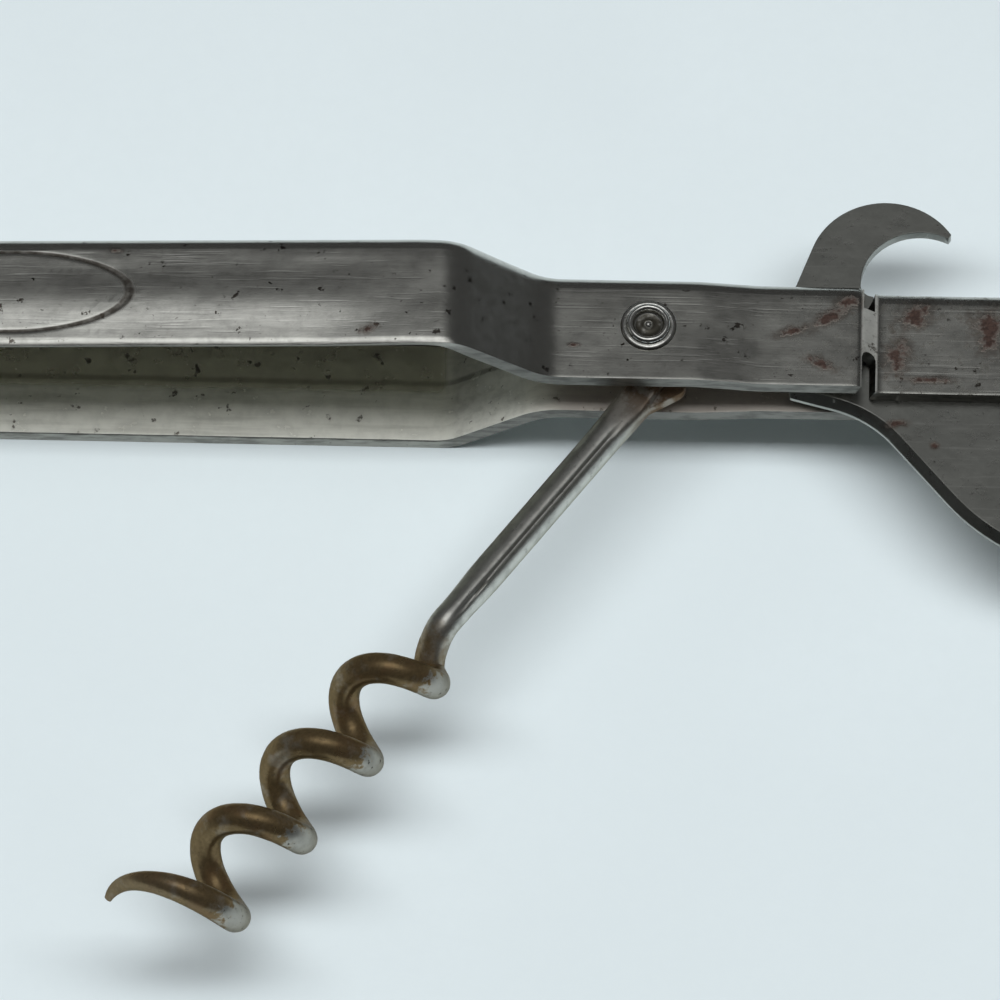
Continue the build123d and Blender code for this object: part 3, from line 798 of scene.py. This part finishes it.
class OBJECT_OT_corkscrew_rivets(bpy.types.Operator):
    """Turns the semi-tubular pivot rivet and the two blade rivets"""

    bl_idname = "object.corkscrew_rivets"
    bl_label = "Rivets"

    def execute(self, context):
        s = context.scene.corkscrew_rivets
        top, bottom = MID_Z + NECK_HALF_WIDTH, MID_Z - NECK_HALF_WIDTH
        floor_z = top + s.head_height - s.recess_depth
        roll, half = PIVOT_ROLL_RADIUS, PIVOT_ROLL_HALF
        profile = [(0.0, bottom - s.head_height)]
        for angle in range(0, 91, 10):
            dome = s.head_height
            profile.append((s.head / 2 - dome + dome * sin(radians(angle)), bottom - dome * cos(radians(angle))))
        profile += [(s.shank / 2, bottom), (s.shank / 2, top), (s.head / 2, top)]
        # A thin flange, then the roll round the recess.
        profile += [(s.head / 2 - 0.03 * MM, top + 0.2 * MM), (s.head / 2 - 0.16 * MM, top + 0.3 * MM),
                    (roll + half + 0.12 * MM, top + 0.4 * MM)]
        for angle in range(22, 171, 8):
            profile.append((roll + half * cos(radians(angle)), top + s.head_height * sin(radians(angle)) ** 0.9))
        nub = s.nub / 2
        profile += [(s.recess / 2, top + 0.3 * MM), (s.recess / 2 - 0.04 * MM, floor_z + 0.1 * MM),
                    (s.recess / 2 - 0.16 * MM, floor_z), (nub + 0.12 * MM, floor_z)]
        for angle in range(10, 91, 16):
            profile.append((nub * cos(radians(angle)), floor_z + nub * 0.9 * sin(radians(angle))))
        profile.append((0.0, floor_z + nub * 0.9))
        pivot = lathe("pivot_rivet_rolled", profile, [(PIVOT.x, PIVOT.y)], 96)
        for vert in pivot.data.vertices:
            offset = vert.co - Vector((PIVOT.x, PIVOT.y, 0))
            if vert.co.z > top + 0.1 * MM and hypot(offset.x, offset.y) > 1.0 * MM:
                vert.co.z -= 0.05 * MM * (0.5 + 0.5 * noise.noise(vert.co / (1.1 * MM)))
        steel = rivet_steel(s.steel)
        pivot.data.materials.append(steel)
        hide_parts("pivot_rivet")

        seat = MID_Z + JAW_HALF_WIDTH * MM
        under = MID_Z - JAW_HALF_WIDTH * MM
        height, radius = s.blade_head_height, s.blade_head / 2
        dome = [(radius * cos(radians(angle)), height * sin(radians(angle)) ** 0.8) for angle in range(6, 90, 12)]
        profile = [(0.0, under - height)] + [(out, under - up) for out, up in reversed(dome)]
        profile += [(radius, under), (s.blade_shank / 2, under), (s.blade_shank / 2, seat), (radius, seat)]
        profile += [(out, seat + up) for out, up in dome] + [(0.0, seat + height)]
        pair = lathe("blade_rivets_domed", profile, BLADE_RIVET_PLACES, 48)
        pair.data.materials.append(steel)
        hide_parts("blade_rivets")
        for rivet in (pivot, pair):
            mark_sharp(rivet, radians(50))
            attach(rivet, "body")
        return {"FINISHED"}


# ---------------------------------------------------------------- worm
class WormSettings(bpy.types.PropertyGroup):
    """Sizes and colours of the worm."""

    wire: length("Wire", "Diameter of the screw's wire", 3.1)
    eye_radius: length("Eye radius", "Outside radius of the eye", 3.8)
    eye_thickness: length("Eye thickness", "Thickness of the eye and the tang", 2.5)
    eye_hole: length("Eye hole", "Diameter of the eye's hole", 3.5)
    shank_width: length("Shank width", "Width of the oval shank", 3.4)
    shank_length: length("Shank length", "From the pivot's foot to the screw's run-out", 37.0)
    shank_offset: length("Shank offset", "From the shank's axis to the pivot's axis", 2.9)
    groove: length("Groove", "Depth of the crease along the shank", 0.26)
    run_out: length("Run-out", "Along the axis, from the shank to the first turn", 4.6)
    pitch: length("Pitch", "Distance between the screw's turns", 10.95)
    start_radius: length("Start radius", "Centre line's radius at the first turn", 3.25)
    end_radius: length("End radius", "Centre line's radius at the last full turn", 3.85)
    tip_spread: length("Tip spread", "From the point to the screw's axis", 7.6)
    tip_diameter: length("Tip diameter", "Diameter of the wire at the point", 0.8)
    turns: number("Turns", "Turns at full wire thickness", 3.11, min=0.5)
    tip_turns: number("Tip turns", "Turns that taper to the point", 0.58, min=0.1)
    lean: angle_of("Lean", "Angle from the shank's axis to the screw's axis", radians(0.7))
    start_angle: angle_of("Start angle", "Where the first turn starts round the screw's axis", radians(-60))
    steel: tint("Shank steel", "Colour of the shank", (0.7, 0.7, 0.655))
    tarnish: tint("Tarnish", "Colour of the screw's tarnish", (0.215, 0.153, 0.078))


RING_SIDES = 56
# Where the swept shank starts inside the tang, and how many rings it has.
SHANK_START = 4.6 * MM
SHANK_RINGS = 54


def swung(angle):
    """The direction that lies along the grip when the worm is folded, swung out by this angle."""
    return Vector((-cos(angle), -sin(angle), 0))


def centre_line(s):
    """Points along the worm's centre line past the shank, with the wire's diameter at each."""
    direction, axis = swung(WORM_SWING), swung(WORM_SWING - s.lean)
    shank_side, side = -swung(WORM_SWING - pi / 2), -swung(WORM_SWING - s.lean - pi / 2)
    start = PIVOT + shank_side * s.shank_offset + direction * s.shank_length

    def on_screw(turn, radius):
        angle = s.start_angle + 2 * pi * turn
        along = s.run_out + s.pitch * turn
        return start + axis * along + side * radius * cos(angle) + Vector((0, 0, radius * sin(angle)))

    def radius_at(turn):
        return s.start_radius + (s.end_radius - s.start_radius) * turn / s.turns

    entry = on_screw(0, s.start_radius)
    tangent = (on_screw(0.001, s.start_radius) - entry).normalized()
    chord = (entry - start).length
    line = []
    for step in range(12):
        t = step / 12
        line.append((
            start * (2 * t**3 - 3 * t**2 + 1) + direction * chord * (t**3 - 2 * t**2 + t)
            + entry * (3 * t**2 - 2 * t**3) + tangent * chord * (t**3 - t**2),
            s.wire,
        ))
    steps = round(s.turns * 44)
    line += [(on_screw(s.turns * i / steps, radius_at(s.turns * i / steps)), s.wire) for i in range(steps)]
    steps = round(s.tip_turns * 60)
    for i in range(steps + 1):
        share = i / steps
        radius = s.end_radius + (s.tip_spread - s.end_radius) * share**2
        diameter = s.wire + (s.tip_diameter - s.wire) * share**3.3
        line.append((on_screw(s.turns + s.tip_turns * share, radius), diameter))
    return line


def shank_point(s, angle, along):
    """A point of the shank's section: squarish by the tang, creased along the middle, round at the screw."""
    square = fade_out(along, 6.0, 4.5)
    rounding = smooth_step((along - (s.shank_length - 7 * MM)) / (6 * MM))
    wide = s.shank_width / 2 + (s.wire - s.shank_width) / 2 * rounding
    thick = s.wire / 2 + (s.eye_thickness - s.wire) / 2 * square
    power = 2 / (2 + 2.2 * square + 0.55 * (1 - rounding))
    across = abs(cos(angle)) ** power * (1 if cos(angle) > 0 else -1) * wide
    up = abs(sin(angle)) ** power * (1 if sin(angle) > 0 else -1) * thick
    crease_run = fade_in(along, 8, 4) * fade_out(along, 34.5, 3)
    crease = exp(-(((across - 0.78 * MM) / (0.19 * MM)) ** 2))
    flat = fade_in(across, -1.5, 1.9)
    if sin(angle) > 0:
        up -= crease_run * (s.groove * crease + 0.16 * MM * (1 - flat))
        up -= crease_run * 0.2 * MM * fade_in(across, 0.9, 0.7)
    else:
        up += crease_run * s.groove * 0.6 * exp(-(((across + 0.5 * MM) / (0.25 * MM)) ** 2))
    return across, up


class OBJECT_OT_corkscrew_worm(bpy.types.Operator):
    """Draws the worm's wire along its centre line and forges its eye"""

    bl_idname = "object.corkscrew_worm"
    bl_label = "Worm"

    def execute(self, context):
        s = context.scene.corkscrew_worm
        direction, side = swung(WORM_SWING), -swung(WORM_SWING - pi / 2)
        foot = PIVOT + side * s.shank_offset
        up = Vector((0, 0, 1))
        bm = bmesh.new()
        ring = bmesh.ops.create_circle(bm, segments=RING_SIDES, radius=1.0)["verts"]
        angles = {vert: 2 * pi * index / RING_SIDES for index, vert in enumerate(ring)}

        def next_ring(ring):
            """Extrudes the last ring of vertices; each new one keeps its partner's angle."""
            last = set(ring)
            edges = dict.fromkeys(edge for vert in ring for edge in vert.link_edges if last.issuperset(edge.verts))
            made = bmesh.ops.extrude_edge_only(bm, edges=list(edges))["geom"]
            made = [item for item in made if isinstance(item, bmesh.types.BMVert)]
            for vert in made:
                partners = [edge.other_vert(vert) for edge in vert.link_edges if edge.other_vert(vert) in last]
                angles[vert] = angles[min(partners, key=lambda partner: (partner.co - vert.co).length)]
            return made

        # Shank.
        for step in range(SHANK_RINGS + 1):
            along = SHANK_START + (s.shank_length - SHANK_START) * step / SHANK_RINGS
            if step:
                ring = next_ring(ring)
            inset = 1.0 if step else 0.9
            for vert in ring:
                across, over = shank_point(s, angles[vert], along)
                vert.co = foot + direction * along + side * (inset * across) + up * (inset * over)
        start_rim = SHANK_START + 0.01 * MM
        bmesh.ops.contextual_create(bm, geom=[
            edge for edge in bm.edges
            if edge.is_boundary and all((vert.co - foot).dot(direction) < start_rim for vert in edge.verts)
        ])

        # Screw: each ring is turned as little as its centre line asks.
        line = centre_line(s)[1:]
        first, second, ahead = side.copy(), up.copy(), direction.copy()
        axis = swung(WORM_SWING - s.lean)
        for index, (centre, diameter) in enumerate(line):
            behind = line[max(index - 1, 0)][0]
            tangent = (line[min(index + 1, len(line) - 1)][0] - behind).normalized()
            turn = ahead.rotation_difference(tangent)
            first, second, ahead = turn @ first, turn @ second, tangent
            ring = next_ring(ring)
            thin = smooth_step((s.wire - diameter) / (s.wire - s.tip_diameter))
            flat = (axis - tangent * axis.dot(tangent)).normalized()
            for vert in ring:
                offset = (first * cos(angles[vert]) + second * sin(angles[vert])) * diameter / 2
                offset -= flat * offset.dot(flat) * 0.45 * thin
                dent = noise.noise((centre + offset) / (1.7 * MM)) + 0.6 * noise.noise((centre + offset) / (0.7 * MM))
                vert.co = centre + offset * (1 + 0.022 * min(dent, 0.0))
        bmesh.ops.contextual_create(bm, geom=[e for e in bm.edges if e.is_boundary])
        bmesh.ops.recalc_face_normals(bm, faces=bm.faces)
        worm = new_object("worm_forged", bm)

        # Eye, tang and the thinner flare beside it, flattened from the same wire.
        def corner(along, across):
            return foot + direction * along * MM + side * across * MM

        flare = [corner(6.3, 1.6), corner(3.0, 0.0), corner(0.6, 0.6)]
        tang = [corner(0.0, -1.7), corner(0.0, 1.2), corner(6.9, -1.69), corner(6.9, 1.69)]
        pieces = [
            ("eye", [(PIVOT, s.eye_radius)], [], s.eye_thickness / 2, 0.45),
            ("tang", [], tang, s.eye_thickness / 2 - 0.02 * MM, 0.5),
            ("flare", [(corner(2.2, 1.7), 1.5 * MM)], flare, 0.72 * MM, 0.2),
        ]
        for name, circles, corners, half, rounding in pieces:
            bm = bmesh.new()
            for z in (MID_Z - half, MID_Z + half):
                for centre, radius in circles:
                    made = bmesh.ops.create_circle(bm, segments=64, radius=radius)["verts"]
                    bmesh.ops.translate(bm, verts=made, vec=(centre.x, centre.y, z))
                for point in corners:
                    bm.verts.new((point.x, point.y, z))
            hull = bmesh.ops.convex_hull(bm, input=bm.verts)
            spare = {item for item in hull["geom_interior"] + hull["geom_unused"]
                     if isinstance(item, bmesh.types.BMVert)}
            bmesh.ops.delete(bm, geom=list(spare), context="VERTS")
            bmesh.ops.dissolve_limit(bm, angle_limit=radians(1), verts=bm.verts, edges=bm.edges)
            rim = [edge for edge in bm.edges if len(edge.link_faces) == 2 and edge.calc_face_angle() > radians(60)
                   and abs(edge.verts[0].co.z - edge.verts[1].co.z) < 0.01 * MM]
            bevel(bm, rim, rounding * MM, 4)
            bmesh.ops.recalc_face_normals(bm, faces=bm.faces)
            boolean(worm, new_object(name, bm), "UNION")
        bm = bmesh.new()
        bmesh.ops.create_cone(bm, cap_ends=True, segments=64, radius1=s.eye_hole / 2, radius2=s.eye_hole / 2,
                              depth=10 * MM, matrix=Matrix.Translation(PIVOT))
        boolean(worm, new_object("drill", bm), "DIFFERENCE")
        mark_sharp(worm, radians(42))
        worm.data.materials.clear()
        worm.data.materials.append(worm_steel(s.steel, s.tarnish))
        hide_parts("worm")
        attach(worm, "corkscrew")
        return {"FINISHED"}


# ---------------------------------------------------------------- blade plate
class BladeSettings(bpy.types.PropertyGroup):
    """Edges and colour of the blade plate."""

    deburr: length("Deburring", "Width of the rounding on the plate's edges", 0.13)
    steel: tint("Blade steel", "Colour of the blade plate", (0.35, 0.355, 0.33))


class OBJECT_OT_corkscrew_blade(bpy.types.Operator):
    """Deburrs and grinds the stamped plate with its hook and blade"""

    bl_idname = "object.corkscrew_blade"
    bl_label = "Blade Plate"

    def execute(self, context):
        s = context.scene.corkscrew_blade
        bm = bmesh.new()
        bm.from_mesh(frame["nodes"]["blade_plate"].data)
        bmesh.ops.remove_doubles(bm, verts=bm.verts, dist=1e-6)
        bmesh.ops.dissolve_limit(bm, angle_limit=radians(0.5), verts=bm.verts, edges=bm.edges)
        sharp = [edge for edge in bm.edges if len(edge.link_faces) == 2 and edge.calc_face_angle() > radians(28)]
        bevel(bm, sharp, s.deburr, 2)
        blade = new_object("blade_plate_ground", bm)
        mark_sharp(blade, radians(60))
        add_modifier(blade, "WEIGHTED_NORMAL", keep_sharp=True, weight=100)
        blade.data.materials.clear()
        blade.data.materials.append(blade_steel(s.steel))
        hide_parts("blade_plate")
        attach(blade, "body")
        return {"FINISHED"}


# ---------------------------------------------------------------- stage
class StageSettings(bpy.types.PropertyGroup):
    """Camera, light and floor."""

    lens: number("Lens", "Focal length", 1500.0, unit="CAMERA")
    distance: number("Distance", "Camera's distance from the view's centre", 4.17, unit="LENGTH")
    elevation: angle_of("Elevation", "Camera's height angle", radians(62))
    roll: angle_of("Roll", "Camera's roll", 0.02)
    floor: tint("Floor", "Colour of the table", (0.80, 0.875, 0.90))
    light_power: number("Light power", "Watts of the overhead light", 3.85)
    sky: number("Sky", "Strength of the room's light", 1.0)


# The view's centre from the pivot: leftwards and downwards in the view.
VIEW_LEFT, VIEW_DOWN = 14.8 * MM, 15.4 * MM
SOFTBOX_SIZE = (1.0, 0.17)
SOFTBOX_PLACE = (0.03, -0.035, 0.6)
# The room's brightness by height: dim walls, and a pale ceiling straight above.
ROOM = [(0.0, 0.06), (0.5, 0.06), (0.8, 0.06), (0.86, 0.095), (0.9, 0.18), (0.94, 0.6), (0.98, 1.1), (1.0, 1.35)]


def floor_finish(colour):
    """Matt pale table top with a faint weave of tone."""
    f = Finish("table_top")
    cloud = f.noise(0.02, 3, 0.5)
    fine = f.noise(0.5, 4, 0.6)
    tone = f.mixed(f.band(cloud, 0.3, 0.7), colour, shade(colour, 0.97))
    tone = f.mixed(f.band(fine, 0.3, 0.7, 0.0, 0.25), tone, shade(colour, 0.95))
    f.relief([(fine, 0.02 * MM)])
    return f.finish(tone, f.band(fine, 0.3, 0.7, 0.55, 0.65), 0.0)


class OBJECT_OT_corkscrew_stage(bpy.types.Operator):
    """Sets out the table, the light and the camera"""

    bl_idname = "object.corkscrew_stage"
    bl_label = "Stage"

    def execute(self, context):
        s = context.scene.corkscrew_stage
        scene = context.scene
        bm = bmesh.new()
        bmesh.ops.create_grid(bm, x_segments=8, y_segments=8, size=3.0)
        floor = new_object("floor", bm)
        floor.data.materials.append(floor_finish(s.floor))
        floor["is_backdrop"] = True

        back = Vector((0, -cos(s.elevation), sin(s.elevation)))
        level_up = Vector((0, sin(s.elevation), cos(s.elevation)))
        right = Vector((1, 0, 0)) * cos(s.roll) + level_up * sin(s.roll)
        up = level_up * cos(s.roll) - Vector((1, 0, 0)) * sin(s.roll)
        target = PIVOT - right * VIEW_LEFT - up * VIEW_DOWN
        data = bpy.data.cameras.new("camera")
        data.lens, data.sensor_width = s.lens, 36.0
        data.clip_start, data.clip_end = 0.01, 50.0
        camera = bpy.data.objects.new("camera", data)
        camera.matrix_world = Matrix.Translation(target + back * s.distance) @ Matrix(
            (right, up, back)).transposed().to_4x4()
        scene.collection.objects.link(camera)
        scene.camera = camera

        softbox = bpy.data.lights.new("softbox", "AREA")
        softbox.shape = "RECTANGLE"
        softbox.size, softbox.size_y = SOFTBOX_SIZE
        softbox.energy, softbox.color = s.light_power, (0.965, 0.99, 1.0)
        lamp = bpy.data.objects.new("softbox", softbox)
        lamp.matrix_world = Matrix.Translation(SOFTBOX_PLACE)
        lamp.visible_camera = lamp.visible_glossy = False
        scene.collection.objects.link(lamp)

        world = bpy.data.worlds.new("room")
        world.use_nodes = True
        nodes, links = world.node_tree.nodes, world.node_tree.links
        place = nodes.new("ShaderNodeTexCoord")
        split = nodes.new("ShaderNodeSeparateXYZ")
        ramp = nodes.new("ShaderNodeValToRGB")
        viewer = nodes.new("ShaderNodeMapRange")
        dim = nodes.new("ShaderNodeMix")
        links.new(place.outputs["Generated"], split.inputs[0])
        links.new(split.outputs["Z"], ramp.inputs[0])
        links.new(split.outputs["Y"], viewer.inputs["Value"])
        # The room is dimmer on the viewer's side.
        for key, value in {"From Min": -0.5, "From Max": -0.2, "To Min": 0.4, "To Max": 1.0}.items():
            viewer.inputs[key].default_value = value
        dim.data_type, dim.blend_type = "RGBA", "MULTIPLY"
        dim.inputs[0].default_value = 1.0
        links.new(ramp.outputs[0], dim.inputs[6])
        links.new(viewer.outputs[0], dim.inputs[7])
        links.new(dim.outputs[2], nodes["Background"].inputs[0])
        stops = ramp.color_ramp.elements
        stops[0].position, stops[1].position = 0.0, 1.0
        for height, level in ROOM[1:-1]:
            stops.new(height)
        for stop, (_, level) in zip(stops, ROOM):
            stop.color = (level, level * 1.01, level * 1.01, 1.0)
        nodes["Background"].inputs["Strength"].default_value = s.sky
        scene.world = world
        scene.view_settings.view_transform = "Standard"
        return {"FINISHED"}


# ---------------------------------------------------------------- add-on
class VIEW3D_PT_corkscrew(bpy.types.Panel):
    """Lists the corkscrew's pieces and their settings"""

    bl_label = "Lever Corkscrew"
    bl_idname = "VIEW3D_PT_corkscrew"
    bl_space_type = "VIEW_3D"
    bl_region_type = "UI"
    bl_category = "Corkscrew"

    def draw(self, context):
        for name, operator in PIECES:
            box = self.layout.box()
            box.operator(operator)
            settings = getattr(context.scene, name)
            for key in settings.__annotations__:
                box.prop(settings, key)


SETTINGS = {
    "corkscrew_handle": HandleSettings,
    "corkscrew_rivets": RivetSettings,
    "corkscrew_worm": WormSettings,
    "corkscrew_blade": BladeSettings,
    "corkscrew_stage": StageSettings,
}
PIECES = [(name, "object." + name) for name in SETTINGS]
CLASSES = [
    *SETTINGS.values(),
    OBJECT_OT_corkscrew_handle,
    OBJECT_OT_corkscrew_rivets,
    OBJECT_OT_corkscrew_worm,
    OBJECT_OT_corkscrew_blade,
    OBJECT_OT_corkscrew_stage,
    VIEW3D_PT_corkscrew,
]


def register():
    for cls in CLASSES:
        bpy.utils.register_class(cls)
    for name, group in SETTINGS.items():
        setattr(bpy.types.Scene, name, bpy.props.PointerProperty(type=group))


def unregister():
    for name in SETTINGS:
        delattr(bpy.types.Scene, name)
    for cls in reversed(CLASSES):
        bpy.utils.unregister_class(cls)


def main():
    """Builds every piece and the stage, and works out both boxes."""
    register()
    bpy.ops.object.corkscrew_handle()
    bpy.ops.object.corkscrew_rivets()
    bpy.ops.object.corkscrew_worm()
    bpy.ops.object.corkscrew_blade()
    bpy.ops.object.corkscrew_stage()
    bpy.context.view_layer.update()
    boxes = {"cad": CAD_BOX, "visual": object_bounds()}
    boxes = {name: [list(corner) for corner in box] for name, box in boxes.items()}


if __name__ == "__main__":
    main()
